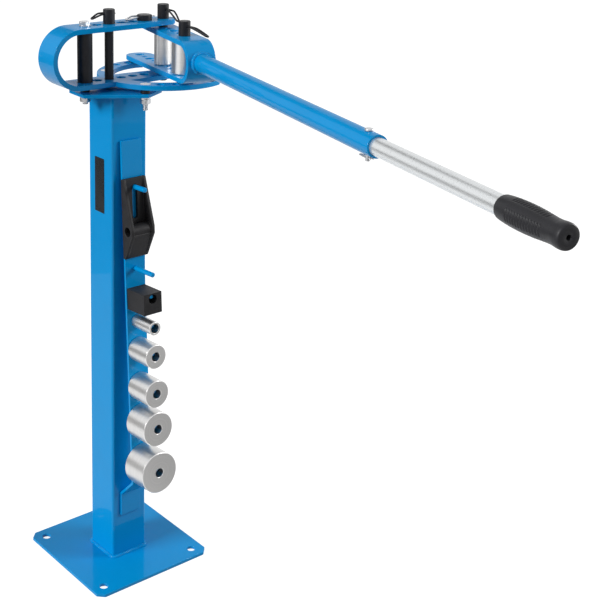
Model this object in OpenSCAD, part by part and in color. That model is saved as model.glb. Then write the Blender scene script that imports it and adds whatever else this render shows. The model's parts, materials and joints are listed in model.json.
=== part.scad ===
// Manual tube bender on a bolt-down pedestal.
// A square post on a floor plate carries a fixed U frame with a row of pin holes and a
// curved stop wing. A smaller U frame with the long handle swings about the centre pin,
// and drags the tube round the centre die with the follower die. Spare dies and the two
// anchor blocks hang on the pegs of a leaning rack strip on the post.
// Millimetres, +Z up, origin at the middle of the floor plate's underside.

/* [Floor plate] */
// Side of the square floor plate
base_w = 250; // [220:5:300]
// Thickness of the floor plate
base_t = 6; // [5:1:10]
// Leg of each clipped corner
base_clip = 12; // [6:1:18]
// Diameter of the floor bolt holes
anchor_d = 16; // [12:1:18]
// From the plate's edge to each floor bolt hole
anchor_inset = 24; // [20:1:32]

/* [Post] */
// Side of the square tube
post_w = 75; // [70:1:80]
// Wall of the square tube
post_wall = 3; // [2:0.5:4]
// Length of the post
post_h = 904; // [880:1:960]
// Radius of the weld beads at both ends of the post
bead_r = 4.5; // [3:0.5:6]

/* [Head plate] */
// Thickness of the three-cornered plate on the post
plate_t = 6; // [5:1:10]
// From its middle to the long sides
plate_long = 62; // [58:1:68]
// From its middle to the clipped corners
plate_short = 80; // [80:1:88]
// How far its middle lies behind the post's axis
plate_back = 4; // [0:1:8]
// Turn of the whole head about the post, in degrees
head_turn = -3; // [-8:1:8]

/* [Fixed frame] */
// Thickness of the bent flat bar
arm_t = 9; // [8:0.5:10]
// Width of the bar
arm_w = 56; // [52:1:60]
// Clear height between the two arms
arm_gap = 90; // [90:1:96]
// From the post's axis to the centre pin
pivot_x = 96.5; // [94:0.5:100]
// From the centre pin to the start of the bend
bend_x = 185.5; // [182:0.5:200]
// Radius of the rounded ends of the arms
tip_r = 22; // [20:0.5:26]
// Step between the pin holes
hole_step = 24.5; // [24:0.5:25]
// From the centre pin to the first pin hole
hole_first = 40; // [38:1:42]
// Diameter of the pin holes
pin_hole_d = 17; // [16.8:0.1:17.5]
// Inner radius of the stop wing
wing_in = 90; // [86:1:94]
// Outer radius of the stop wing
wing_out = 120; // [116:1:124]
// Angle from the arms to the first wing hole
wing_first = 40; // [38:1:42]
// Angle between wing holes
wing_step = 14.5; // [14:0.5:15]
// Diameter of the wing holes
wing_hole_d = 12; // [10:0.5:14]

/* [Handle] */
// Angle from the arms to the handle at rest
handle_turn = -101.4; // [-115:0.1:-90]
// Thickness of the handle frame's bar
yoke_t = 9; // [8:0.5:9]
// Width of the handle frame's bar
yoke_w = 52; // [48:1:54]
// Outer height of the handle frame at its bend
yoke_h = 74.5; // [74:0.5:79]
// Spread of its lower arm from the upper one, in degrees
yoke_splay = 1.9; // [1.5:0.1:2]
// From the centre pin to the start of its bend
yoke_bend = 141; // [138:1:150]
// Step between its holes
yoke_step = 25; // [24.5:0.1:25.5]
// From the centre pin to the last hole of its tail
yoke_tail = 117; // [112:1:120]
// How far the round end of its upper arm lies behind the centre pin
yoke_nose = 30; // [20:1:32]
// Outer diameter of the welded socket tube
socket_d = 32; // [31.5:0.5:34]
// Bore of the socket tube
socket_bore = 26; // [26:0.2:27]
// From the centre pin to the end of the socket
socket_end = 745; // [700:5:800]
// Diameter of the handle bar
bar_d = 25.4; // [25:0.1:25.4]
// From the centre pin to the tip of the grip
handle_end = 1120; // [1080:5:1200]
// Length of the rubber grip
grip_l = 112; // [108:1:120]
// Largest diameter of the rubber grip
grip_d = 34.5; // [33:0.5:38]

/* [Pins and dies] */
// Diameter of the pins
pin_d = 16; // [15.5:0.1:16]
// Diameter of the pin heads
head_d = 21; // [20:0.5:23]
// Height of the pin heads
head_h = 26; // [24:0.5:28]
// Bore of the dies and the anchor blocks
die_bore = 17; // [16.8:0.1:17.5]
// Length of every die
die_l = 56; // [52:0.5:56]
// Diameter of the die on the centre pin
centre_die_d = 31.75; // [25.4:0.05:38.1]
// Diameter of the die on the follower pin
follower_die_d = 44.45; // [38.1:0.05:44.45]

/* [Rack] */
// Width of the rack strip
strip_w = 43; // [40:1:48]
// Thickness of the rack strip
strip_t = 5; // [4:0.5:5]
// From the top of the post down to its top end
strip_drop = 82; // [74:1:90]
// Height where it bends back to the post
strip_knee = 175; // [165:1:180]
// How far its front face stands off the post at that bend
strip_off = 43; // [40:1:45]
// Diameter of the rack pegs
peg_d = 9; // [8:0.5:11]
// Length of the pegs inside the hanging parts
peg_l = 48; // [45:1:50]
// Length of the free peg
peg_free_l = 56; // [50:1:60]
// Length of the highest peg
peg_top_l = 40; // [35:1:50]

/* [Hidden] */

$fn = 96;
inch = 25.4;
over = 1;                  // how far a cutter runs past a face
edge = 1;                  // chamfer of turned ends
touch = 0.3;               // gap between loose pieces that rest on each other
play = 0.4;                // height of the handle frame's tail above the fixed frame
swell = 0.1;               // round ends and bends are this much wider, so that they cross their bar
blue = [0.02, 0.50, 0.82];
black = [0.13, 0.13, 0.14];
steel = [0.72, 0.73, 0.74];
zinc = [0.80, 0.81, 0.82];
silver = [0.84, 0.85, 0.86];

post_r = 5;                // outer corner radius of the square tube
label_w = 30;
label_h = 102;
label_t = 0.5;
label_y = 2;               // middle of the label along the post's side
label_drop = 170;          // from the top of the post to the middle of the label

// screws that hold the fixed frame
m10 = 10;
m10_hole = 11;
m10_bore = 10.6;           // bore of washers, spacers and sleeve
hex_af = 17;
nut_h = 8;
bolt_head_h = 6.5;
sink_d = 20;
sink_h = 5;
sink_below = 0.3;          // countersunk heads lie this far below the surface
flat_d = 20;
flat_t = 2;
split_d = 18;
split_t = 2.5;
split_slot = 2;
bolt_out = 4;              // thread that shows below the nut of the long bolt
screw_out = 12;            // thread that shows below the nuts of the screws
spacer_h = 8;
spacer_d = 17;
sleeve_d = 27;
sleeve_edge = 2;
sleeve_gap = 0.2;

// heights of the head, from the floor
plate_z = base_t + post_h;
spacer_z = plate_z + plate_t;
arm_z = spacer_z + spacer_h;
deck_z = arm_z + arm_t;
roof_z = deck_z + arm_gap;
top_z = roof_z + arm_t;
frame_h = arm_gap + 2 * arm_t;
stack_z = plate_z - flat_t - split_t - nut_h;
label_z = plate_z - label_drop;
strip_top = plate_z - strip_drop;

// plan of the fixed frame, from the centre pin
function polar(r, a) = [r * cos(a), r * sin(a)];
taper_x = 60;              // where the arms start to narrow to their tips
wing_r = (wing_in + wing_out) / 2;
wing_holes = [5, 6];        // on the far side and on the handle's side
wing_tips = [for (n = wing_holes) wing_first + wing_step * (n - 1)];
pin_holes = [for (k = [0:4]) -(hole_first + k * hole_step)];
bolt_x = -(hole_first + 5 * hole_step);
screws_at = [for (s = [-1, 1]) polar(wing_r, 180 - s * wing_first)];
bolts_at = concat([[bolt_x, 0]], screws_at);

// handle frame and what it carries, x from the centre pin
yoke_mid = deck_z + play + yoke_h / 2 * cos(yoke_splay)
    + (yoke_bend + yoke_tail + yoke_w / 2) * sin(yoke_splay);
yoke_top = yoke_mid + yoke_h / 2;
function yoke_deck(x) = yoke_mid - (yoke_h / 2 - yoke_t) / cos(yoke_splay)
    + (x - yoke_bend) * tan(yoke_splay);
yoke_small_d = 10;
follower_x = 4 * yoke_step;
tube_up = 3;               // the socket's axis above the middle of the bend
tube_z = yoke_mid + tube_up;
socket_bead = 4;
bar_wall = 2.5;
bar_inside = 150;          // length of the bar inside the socket
grip_wall = 8;             // closed end of the grip
grip_start = handle_end - grip_l;
bar_end = handle_end - grip_wall;
// outline of the grip: shares of its length and of its largest diameter
grip_shares = [[0, 0.85], [0.02, 0.88], [0.1, 0.93], [0.22, 0.98], [0.34, 1], [0.46, 0.99],
    [0.58, 0.955], [0.69, 0.9], [0.77, 0.865], [0.82, 0.86], [0.87, 0.885], [0.92, 0.925],
    [0.965, 0.925], [0.988, 0.89], [1, 0.81]];
grip_vent = 6.5;
rib_count = 13;            // grooves in each of the four ribbed panels
rib_share = 0.22;          // where they start, as a share of the grip's length
rib_pitch = 4.6;
rib_w = 2.2;
rib_depth = 1.1;
rib_arc = 54;              // angle that each groove spans
lock_pin_d = 6.5;
lock_hole_d = 7;
lock_in = 23;              // from the socket's end to the lock pin
lock_head_d = 12;
lock_head_h = 3;
lock_out = 9;              // how far the lock pin sticks out below the socket
lock_wire = 2;
lock_wire_hole = 2.6;
lock_wire_up = 3.5;        // wire hole above the lower end of the lock pin
lock_clip_l = 20;
lock_x = socket_end - lock_in;

// pins and their wire clips
pin_below = 6;             // how far the long pins reach below the lower arm
hole_up = 17;              // height of the wire hole above the seat of a pin head
stop_head_d = 27;
stop_head_h = 10;
stop_hole_up = 5.5;
clip_d = 3;
clip_hole = 3.6;
clip_free = 0.6;           // gap between a pin head and the outer leg of its clip
clip_wave = 1.5;
clip_loop = 0.26;          // radius of the loop, as a share of how far the outer leg lies out
clip_bow = 1.2;            // how late the clips bend down
clip_roll = 0.25;          // how far the outer leg hangs down for each unit that it lies out
clip_tail = 3;             // how far the straight leg sticks out behind the head
clip_steps = 8;
clip_swing = 14;           // the clips at the handle point this far off its line
centre_clip = [39, 17];    // reach and drop of each clip
anchor_clip = [30, 6.5];
stop_clip = [32, 3];
follower_clip = [58, 9.5];
stop_tail = 10;

// rack: the strip leans out towards its foot
strip_seat = strip_t;      // front face off the post at the top end
foot_top = 137;
foot_low = 93;
peg_edge = 1.5;
lean = atan((strip_off - strip_seat) / (strip_top - strip_knee));
hang = (die_bore - peg_d) / 2 - touch;
function off_post(z) = strip_seat + (strip_top - z) * tan(lean);

// cast anchor block with two cheeks: depths from its back, heights from its peg
vee_w = 50;
vee_cheek = 6;
vee_back = 6;
vee_out = 30;
vee_flat = 14;
vee_inset = 3;
vee_high = 17;
vee_low = 130;
barrel_out = 15;
barrel_low = 77;
barrel_d = 24;
slot_play = 1.2;           // how much wider the slot is than the peg
slot_w = peg_d + slot_play;
slot_l = 53;

// square anchor block
block_w = 39;
block_l = 52;
block_high = 11;           // from the bore to its upper face

// diameters of the spare dies, in shares of an inch
spare_shares = [1, 1.75, 2, 2.5, 3];
spares = [for (s = spare_shares) s * inch];

// how far each hanging piece, and the free peg, reaches above and below its own peg
reach_up = concat([vee_high, peg_d / 2, block_high - hang], [for (d = spares) d / 2 - hang]);
reach_down = concat([vee_low, peg_d / 2, block_w - block_high + hang], [for (d = spares) d / 2 + hang]);
// gaps above each of them, as shares of the length of strip that is left free
gap_shares = [0.3435, 0.0893, 0.1517, 0.0683, 0.0942, 0.1192, 0.0545, 0.0761];
function first(v, n) = n > 0 ? v[n - 1] + first(v, n - 1) : 0;
strip_free = strip_top - strip_knee - first(reach_up, len(reach_up)) - first(reach_down, len(reach_down));
pegs = [for (k = [1:len(reach_up)])
    strip_top - strip_free * first(gap_shares, k) - first(reach_up, k) - first(reach_down, k - 1)];

// frames that the parts are placed in
module in_head() rotate([0, 0, head_turn]) children();
module at_pivot() in_head() translate([pivot_x, 0, 0]) children();
module in_handle() at_pivot() rotate([0, 0, handle_turn]) children();
module along_tube(x) translate([x, 0, tube_z]) rotate([0, 90, 0]) children();
// x across the strip, -y out along the peg, z up along the strip
module on_peg(z) translate([0, -(post_w / 2 + off_post(z)), z]) rotate([-lean, 0, 0]) children();

// shared shapes
module round_square(w, r) {
    square([w, w - 2 * r], center = true);
    square([w - 2 * r, w], center = true);
    for (x = [-1, 1], y = [-1, 1]) translate([x, y] * (w / 2 - r)) circle(r = r);
}

module drill(d, x, y, z1, z2) translate([x, y, z1 - over]) cylinder(d = d, h = z2 - z1 + 2 * over);

module ring(d, bore, h) difference() {
    cylinder(d = d, h = h);
    translate([0, 0, -over]) cylinder(d = bore, h = h + 2 * over);
}

// turned bar of diameter d with a chamfer c at its upper end
module stud(d, h, c) {
    cylinder(d = d, h = h - c);
    translate([0, 0, h - c]) cylinder(d1 = d, d2 = d - 2 * c, h = c);
}

// hexagon with both ends chamfered
module hex(af, h) intersection() {
    r = af / sqrt(3);
    c = (r - af / 2) * tan(30);
    cylinder(r = r, h = h, $fn = 6);
    rotate_extrude() polygon([[0, 0], [af / 2, 0], [r, c], [r, h - c], [af / 2, h], [0, h]]);
}

// bead of weld round a square of side w, on the +Z side of z = 0
module weld_ring(w, r) difference() {
    for (a = [0:90:270]) rotate([0, 0, a]) translate([w / 2, 0, 0]) {
        rotate([90, 0, 0]) cylinder(r = r, h = w, center = true, $fn = 32);
        translate([0, w / 2, 0]) sphere(r = r, $fn = 32);
    }
    translate([0, 0, -r / 2 - over / 2]) cube([w + 3 * r, w + 3 * r, r + over], center = true);
    cube([w, w, 3 * r], center = true);
}

// side view of a flat bar bent round x = 0 into a U that opens towards -X.
// Its lower arm spreads from the upper one by splay degrees.
module hook(reach, h, splay) {
    low = polar(h / 2, splay - 90);
    circle(d = h + swell);
    polygon([[0, h / 2], [-reach, h / 2], low - polar(reach, splay), low]);
}
module strap(reach, h, t, splay = 0) difference() {
    hook(reach, h, splay);
    hook(reach + h, h - 2 * t, splay);
}

// plan of the fixed arms: wide at the bend, narrowing to a round tip at the centre pin
module arm_plan() {
    tangent = atan2(arm_w / 2, -taper_x) - acos(tip_r / norm([taper_x, arm_w / 2]));
    far = bend_x + frame_h;
    circle(r = tip_r);
    polygon([[-far, -arm_w / 2], [-taper_x, -arm_w / 2], polar(tip_r, -tangent),
        polar(tip_r, tangent), [-taper_x, arm_w / 2], [-far, arm_w / 2]]);
}

// pin with a round head on z = 0, wire hole along X, shank down to -l
module headed_pin(d, h, l, up) difference() {
    union() {
        stud(d, h, edge);
        translate([0, 0, over / 2]) mirror([0, 0, 1]) stud(pin_d, l + over / 2, edge);
    }
    translate([-d, 0, up]) rotate([0, 90, 0]) cylinder(d = clip_hole, h = 2 * d, $fn = 32);
}

module die(d) difference() {
    union() {
        cylinder(d1 = d - 2 * edge, d2 = d, h = edge);
        translate([0, 0, edge]) stud(d, die_l - edge, edge);
    }
    translate([0, 0, -over]) cylinder(d = die_bore, h = die_l + 2 * over);
}

// a die on its rack peg, lying with its axis along the peg
module hung_die(d, z) on_peg(z) translate([0, -touch, -hang]) rotate([90, 0, 0]) die(d);

// round wire through a list of points
function unit(v) = v / norm(v);
function lerp(a, b, t) = a + (b - a) * t;
function wire_dir(p, i) = unit(p[min(i + 1, len(p) - 1)] - p[max(i - 1, 0)]);
function wire_ring(p, i, r, sides) =
    let (t = wire_dir(p, i), u = unit(cross(t, [0, 0, 1])), w = cross(u, t))
    [for (k = [0:sides - 1]) p[i] + r * (cos(360 * k / sides) * u + sin(360 * k / sides) * w)];
module wire(p, d, sides = 10) {
    n = len(p);
    rings = [for (i = [0:n - 1]) each wire_ring(p, i, d / 2, sides)];
    walls = [for (i = [0:n - 2], k = [0:sides - 1])
        let (a = i * sides, b = a + sides, m = (k + 1) % sides) [a + k, b + k, b + m, a + m]];
    polyhedron(rings, concat([[for (k = [0:sides - 1]) k]], walls,
        [[for (k = [sides - 1:-1:0]) (n - 1) * sides + k]]));
}

// R-shaped spring clip: its straight leg goes along X through the pin at x = 0, its loop
// lies at +X, and the other leg spreads back beside the head. It bends down on its way out.
module spring_clip(head, reach, drop = 0, roll = 0, tail = clip_tail, d = clip_d) {
    side = head / 2 + d / 2 + clip_free;
    loop_r = side * clip_loop;
    start = head / 2 + d;
    far = reach + loop_r;
    function sag(x) = x < start ? 0 : -drop * pow((x - start) / (far - start), clip_bow);
    route = concat(
        [for (k = [0:2]) [lerp(-head / 2 - tail, start, k / 2), 0]],
        [for (k = [1:clip_steps]) [lerp(start, reach, k / clip_steps), 0]],
        [for (a = [75:-15:-75]) [reach, -loop_r] + polar(loop_r, a)],
        [for (k = [0:clip_steps]) let (t = k / clip_steps)
            [lerp(reach, 0, t), -lerp(2 * loop_r, side, min(1, t * reach / (reach - start)))
                - clip_wave * sin(180 * t)]],
        [[-1.5 * d, -side - 0.2 * d], [-3 * d, -side - 0.7 * d]]);
    wire([for (q = route) [q[0], q[1], sag(q[0]) + roll * q[1]]], d);
}

// Floor plate with clipped corners and four bolt holes
module base_plate() color(blue) linear_extrude(base_t) difference() {
    intersection() {
        square(base_w, center = true);
        rotate(45) square((base_w - base_clip) * sqrt(2), center = true);
    }
    for (x = [-1, 1], y = [-1, 1]) translate([x, y] * (base_w / 2 - anchor_inset)) circle(d = anchor_d);
}

module base_weld() color(blue) translate([0, 0, base_t]) weld_ring(post_w, bead_r);

// Square tube
module post() color(blue) translate([0, 0, base_t]) linear_extrude(post_h) difference() {
    round_square(post_w, post_r);
    round_square(post_w - 2 * post_wall, post_r - post_wall);
}

// Plain label on the post's narrow side, without lettering
module name_label() color(black)
    translate([-post_w / 2 - label_t, label_y - label_w / 2, label_z - label_h / 2])
    cube([label_t, label_w, label_h]);

// Three-cornered plate with clipped corners on top of the post
module head_plate() color(blue) in_head() translate([0, 0, plate_z]) linear_extrude(plate_t) difference() {
    translate([-plate_back, 0]) intersection() {
        rotate(180) circle(r = 2 * plate_long, $fn = 3);
        circle(r = 2 * plate_short, $fn = 3);
    }
    for (p = bolts_at) translate([pivot_x + p[0], p[1]]) circle(d = m10_hole);
}

module head_weld() color(blue) translate([0, 0, plate_z]) mirror([0, 0, 1]) weld_ring(post_w, bead_r);

// Leaning strip, bent back to a foot on the post
function miter(a, b, t) = let (n1 = [a[1], -a[0]], n2 = [b[1], -b[0]]) t * (n1 + n2) / (1 + n1 * n2);
module rack_strip() color(blue) {
    front = [[strip_seat, strip_top], [strip_off, strip_knee], [strip_t, foot_top], [strip_t, foot_low]];
    dirs = [for (i = [0:2]) unit(front[i + 1] - front[i])];
    back = [for (i = [0:3]) front[i] + miter(dirs[max(i - 1, 0)], dirs[min(i, 2)], strip_t)];
    outline = concat(front, [for (i = [3:-1:0]) [max(back[i][0], 0), back[i][1]]]);
    translate([-strip_w / 2, -post_w / 2, 0]) rotate([90, 0, 90]) linear_extrude(strip_w)
        polygon([for (p = outline) [-p[0], p[1]]]);
}

// Welded pegs, one for each thing that hangs on the rack and one free
module rack_pegs() color(blue) for (k = [0:len(pegs) - 1]) {
    l = k == 0 ? peg_top_l : k == 1 ? peg_free_l : peg_l;
    on_peg(pegs[k]) rotate([90, 0, 0]) stud(peg_d, l, peg_edge);
}

// Bent flat bar with the pin holes, and the curved stop wing on its lower arm
module fixed_frame() color(blue) at_pivot() difference() {
    union() {
        intersection() {
            translate([-bend_x, -arm_w / 2, arm_z + frame_h / 2]) rotate([90, 0, 180])
                linear_extrude(arm_w) strap(bend_x + 2 * tip_r, frame_h, arm_t);
            translate([0, 0, arm_z - over]) linear_extrude(frame_h + 2 * over) arm_plan();
        }
        rotate([0, 0, 180 - wing_tips[0]]) rotate_extrude(angle = wing_tips[0] + wing_tips[1])
            translate([wing_in, arm_z]) square([wing_out - wing_in, arm_t]);
        for (a = [-wing_tips[0], wing_tips[1]]) translate(concat(polar(wing_r, 180 + a), arm_z))
            cylinder(d = wing_out - wing_in + swell, h = arm_t);
    }
    for (x = concat([0], pin_holes)) drill(pin_hole_d, x, 0, arm_z, top_z);
    drill(m10_hole, bolt_x, 0, arm_z, top_z);
    for (i = [0, 1], k = [1:wing_holes[i] - 1]) {
        p = polar(wing_r, 180 + (2 * i - 1) * (wing_first + k * wing_step));
        drill(wing_hole_d, p[0], p[1], arm_z, deck_z);
    }
    for (p = screws_at) {
        drill(m10_hole, p[0], p[1], arm_z, deck_z);
        translate(concat(p, deck_z - sink_h)) cylinder(d1 = m10_hole, d2 = sink_d, h = sink_h);
        translate(concat(p, deck_z)) cylinder(d = sink_d, h = over);
    }
}

// Three distance pieces between the head plate and the frame
module head_spacers() color(black) at_pivot()
    for (p = bolts_at) translate(concat(p, spacer_z)) ring(spacer_d, m10_bore, spacer_h);

// Thick sleeve that keeps the two arms apart at the clamping bolt
module frame_sleeve() color(black) at_pivot() translate([bolt_x, 0, deck_z + sleeve_gap]) difference() {
    h = arm_gap - 2 * sleeve_gap;
    stud(sleeve_d, h, sleeve_edge);
    translate([0, 0, -over]) cylinder(d = m10_bore, h = h + 2 * over);
}

// Long hexagon bolt through both arms, the sleeve and the head plate
module frame_bolt() color(zinc) at_pivot() translate([bolt_x, 0, 0]) {
    seat = top_z + flat_t;
    low = stack_z - bolt_out;
    translate([0, 0, seat + over]) mirror([0, 0, 1]) stud(m10, seat + over - low, edge);
    translate([0, 0, seat]) rotate([0, 0, 12]) hex(hex_af, bolt_head_h);
}

// Two countersunk screws through the wing and the head plate
module wing_screws() color(zinc) at_pivot() for (p = screws_at) translate(concat(p, 0)) {
    low = stack_z - screw_out;
    translate([0, 0, deck_z - sink_below]) mirror([0, 0, 1]) stud(m10, deck_z - sink_below - low, edge);
    translate([0, 0, deck_z - sink_h])
        cylinder(d1 = m10, d2 = sink_d - 2 * sink_below, h = sink_h - sink_below);
}

module flat_washers() color(zinc) at_pivot() {
    for (p = bolts_at) translate(concat(p, plate_z - flat_t)) ring(flat_d, m10_bore, flat_t);
    translate([bolt_x, 0, top_z]) ring(flat_d, m10_bore, flat_t);
}

// Split spring washers above the nuts
module spring_washers() color(zinc) at_pivot() for (p = bolts_at)
    translate(concat(p, plate_z - flat_t - split_t)) rotate([0, 0, 250]) difference() {
        ring(split_d, m10_bore, split_t);
        translate([split_d / 4, -split_slot / 2, -over]) cube([split_d / 2, split_slot, split_t + 2 * over]);
    }

module head_nuts() color(zinc) at_pivot() for (p = bolts_at) translate(concat(p, stack_z)) difference() {
    rotate([0, 0, 20]) hex(hex_af, nut_h);
    translate([0, 0, -over]) cylinder(d = m10, h = nut_h + 2 * over);
}

// Loose pins of the fixed frame, standing on the upper arm
module on_arm(x, turn) at_pivot() translate([x, 0, top_z + touch]) rotate([0, 0, turn]) children();
long_pin_l = top_z + touch - arm_z + pin_below;
module centre_pin() color(black) on_arm(0, handle_turn + clip_swing)
    headed_pin(head_d, head_h, long_pin_l, hole_up);
module anchor_pin() color(black) on_arm(pin_holes[3], 180) headed_pin(head_d, head_h, long_pin_l, hole_up);
module stop_pin() color(black) on_arm(pin_holes[0], 180)
    headed_pin(stop_head_d, stop_head_h, arm_t, stop_hole_up);

// Loose pin of the handle frame
module on_yoke(turn) in_handle() translate([follower_x, 0, yoke_top + touch]) rotate([0, 0, turn]) children();
module follower_pin() color(black) on_yoke(clip_swing)
    headed_pin(head_d, head_h, yoke_top + touch - arm_z - arm_t - play, hole_up);

// Spring clips in the heads of the pins
module centre_pin_clip() color(black) on_arm(0, handle_turn + clip_swing)
    translate([0, 0, hole_up]) mirror([0, 1, 0])
    spring_clip(head_d, centre_clip[0], centre_clip[1], clip_roll);
module anchor_pin_clip() color(black) on_arm(pin_holes[3], 180)
    translate([0, 0, hole_up]) spring_clip(head_d, anchor_clip[0], anchor_clip[1]);
module stop_pin_clip() color(zinc) on_arm(pin_holes[0], 180)
    translate([0, 0, stop_hole_up])
    spring_clip(stop_head_d, stop_clip[0], stop_clip[1], tail = stop_tail);
module follower_pin_clip() color(black) on_yoke(clip_swing)
    translate([0, 0, hole_up]) mirror([0, 1, 0])
    spring_clip(head_d, follower_clip[0], follower_clip[1], clip_roll);

// Dies in use, on the handle frame's sloping lower arm
module standing_die(x, d) in_handle() translate([x, 0, yoke_deck(x + d / 2) + touch]) die(d);
module centre_die() color(steel) standing_die(0, centre_die_d);
module follower_die() color(steel) standing_die(follower_x, follower_die_d);

// Swinging U frame with a tail on its lower arm
module yoke_plan(x, z1, z2) translate([x, 0, z1]) linear_extrude(z2 - z1) {
    circle(d = yoke_w + swell);
    translate([0, -yoke_w]) square([yoke_bend + yoke_h - x, 2 * yoke_w]);
}
module handle_frame() color(blue) in_handle() difference() {
    intersection() {
        translate([yoke_bend, yoke_w / 2, yoke_mid]) rotate([90, 0, 0]) linear_extrude(yoke_w)
            strap(yoke_bend + yoke_tail + yoke_w, yoke_h, yoke_t, yoke_splay);
        union() {
            yoke_plan(-yoke_nose, yoke_mid, yoke_top + over);
            yoke_plan(-yoke_tail, deck_z - yoke_t, yoke_mid + over);
        }
    }
    for (k = [0, 2, 4]) drill(pin_hole_d, k * yoke_step, 0, deck_z, yoke_top);
    for (k = [1, 3]) drill(yoke_small_d, k * yoke_step, 0, deck_z, yoke_top);
    for (k = [0, 2]) drill(pin_hole_d, k * yoke_step - yoke_tail, 0, deck_z - yoke_t, yoke_mid);
    for (k = [1, 3]) drill(yoke_small_d, k * yoke_step - yoke_tail, 0, deck_z - yoke_t, yoke_mid);
}

// cylinder of the bend's outer face, to cope what is welded to it
module bend_core() translate([yoke_bend, 0, yoke_mid]) rotate([90, 0, 0])
    cylinder(d = yoke_h + swell, h = yoke_w + 2 * over, center = true);
module lock_drill(d) translate([lock_x, 0, tube_z]) cylinder(d = d, h = 2 * socket_d, center = true);

module handle_socket() color(blue) in_handle() difference() {
    start = yoke_bend + yoke_h / 4;
    along_tube(start) cylinder(d = socket_d, h = socket_end - start);
    along_tube(start - over) cylinder(d = socket_bore, h = socket_end - start + 2 * over);
    bend_core();
    lock_drill(lock_hole_d);
}

module socket_weld() color(blue) in_handle() difference() {
    seam = yoke_bend + sqrt(pow(yoke_h / 2, 2) - pow(socket_d / 4, 2));
    along_tube(seam) rotate_extrude() translate([socket_d / 2, 0]) circle(r = socket_bead, $fn = 32);
    along_tube(seam - 3 * socket_bead) cylinder(d = socket_d, h = 6 * socket_bead);
    bend_core();
}

module handle_bar() color(silver) in_handle() difference() {
    start = socket_end - bar_inside;
    along_tube(start) ring(bar_d, bar_d - 2 * bar_wall, bar_end - start);
    lock_drill(lock_hole_d);
}

// Moulded rubber grip with four ribbed panels, closed at its end but for a small vent
module handle_grip() color(black) in_handle() along_tube(grip_start) difference() {
    rotate_extrude() polygon(concat([[0, 0]], [for (s = grip_shares) [grip_d / 2 * s[1], grip_l * s[0]]],
        [[0, grip_l]]));
    translate([0, 0, -over]) cylinder(d = bar_d, h = bar_end - grip_start + over);
    cylinder(d = grip_vent, h = grip_l + over);
    for (k = [0:rib_count - 1], a = [0:90:270]) {
        z = rib_share * grip_l + k * rib_pitch;
        r = grip_d / 2 * lookup(z / grip_l, grip_shares);
        rotate([0, 0, a - rib_arc / 2]) rotate_extrude(angle = rib_arc)
            translate([r - rib_depth, z - rib_w / 2]) square([2 * rib_depth, rib_w]);
    }
}

// Clevis pin that locks the bar in the socket, and its clip
module at_lock() in_handle() translate([lock_x, 0, tube_z - socket_d / 2 - lock_out]) children();
module lock_pin() color(zinc) at_lock() difference() {
    head_z = lock_out + socket_d + touch;
    union() {
        cylinder(d = lock_pin_d, h = head_z + over);
        translate([0, 0, head_z]) stud(lock_head_d, lock_head_h, edge);
    }
    translate([-lock_pin_d, 0, lock_wire_up]) rotate([0, 90, 0])
        cylinder(d = lock_wire_hole, h = 2 * lock_pin_d, $fn = 32);
}

module lock_pin_clip() color(zinc) at_lock() translate([0, 0, lock_wire_up]) rotate([0, 0, 180])
    spring_clip(lock_pin_d, lock_clip_l, d = lock_wire);

// Cast anchor block: back plate with a slot, two cheeks and a bored barrel between them
module vee_block() {
    // flat shapes are drawn as [y, z] of the block and pushed along x
    module push(l) translate([-l / 2, 0, 0]) rotate([90, 0, 90]) linear_extrude(l) children();
    barrel = [-barrel_out, -barrel_low];
    cheek = [[0, vee_high], [-vee_back, vee_high], [-vee_out, -barrel_low + vee_flat / 2],
        [-vee_out, -barrel_low - vee_flat / 2], [-vee_back, -vee_low], [0, -vee_low]];
    web = [[0, -vee_low], [-vee_back, -vee_low], [vee_inset - vee_out, -barrel_low - vee_flat / 2],
        barrel, [0, -barrel_low]];
    slide = (slot_w - peg_d) / 2 - touch;
    color(black) on_peg(pegs[0]) translate([0, -touch, -slide]) difference() {
        union() {
            difference() {
                push(vee_w) polygon(cheek);
                push(vee_w - 2 * vee_cheek) translate([-vee_back - 2 * vee_out, -vee_low - over])
                    square([2 * vee_out, vee_high + vee_low + 2 * over]);
            }
            push(vee_w - vee_cheek) polygon(web);
            push(vee_w - vee_cheek) translate(barrel) circle(d = barrel_d);
        }
        translate([-vee_w / 2 - over, -barrel_out, -barrel_low]) rotate([0, 90, 0])
            cylinder(d = die_bore, h = vee_w + 2 * over);
        rotate([90, 0, 0]) translate([0, 0, -over]) {
            cylinder(d = slot_w, h = vee_back + 2 * over);
            translate([0, -slot_l, 0]) cylinder(d = slot_w, h = vee_back + 2 * over);
            translate([-slot_w / 2, -slot_l, 0]) cube([slot_w, slot_l, vee_back + 2 * over]);
        }
    }
}

// Square anchor block with its bore above the middle
module square_block() color(black) on_peg(pegs[2]) translate([0, -touch, -hang]) difference() {
    translate([-block_w / 2, -block_l, block_high - block_w]) cube([block_w, block_l, block_w]);
    rotate([90, 0, 0]) translate([0, 0, -over]) cylinder(d = die_bore, h = block_l + 2 * over);
}

// Spare dies on the rack
module die_1_inch() color(steel) hung_die(spares[0], pegs[3]);
module die_1_3_4_inch() color(steel) hung_die(spares[1], pegs[4]);
module die_2_inch() color(steel) hung_die(spares[2], pegs[5]);
module die_2_1_2_inch() color(steel) hung_die(spares[3], pegs[6]);
module die_3_inch() color(steel) hung_die(spares[4], pegs[7]);

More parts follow.
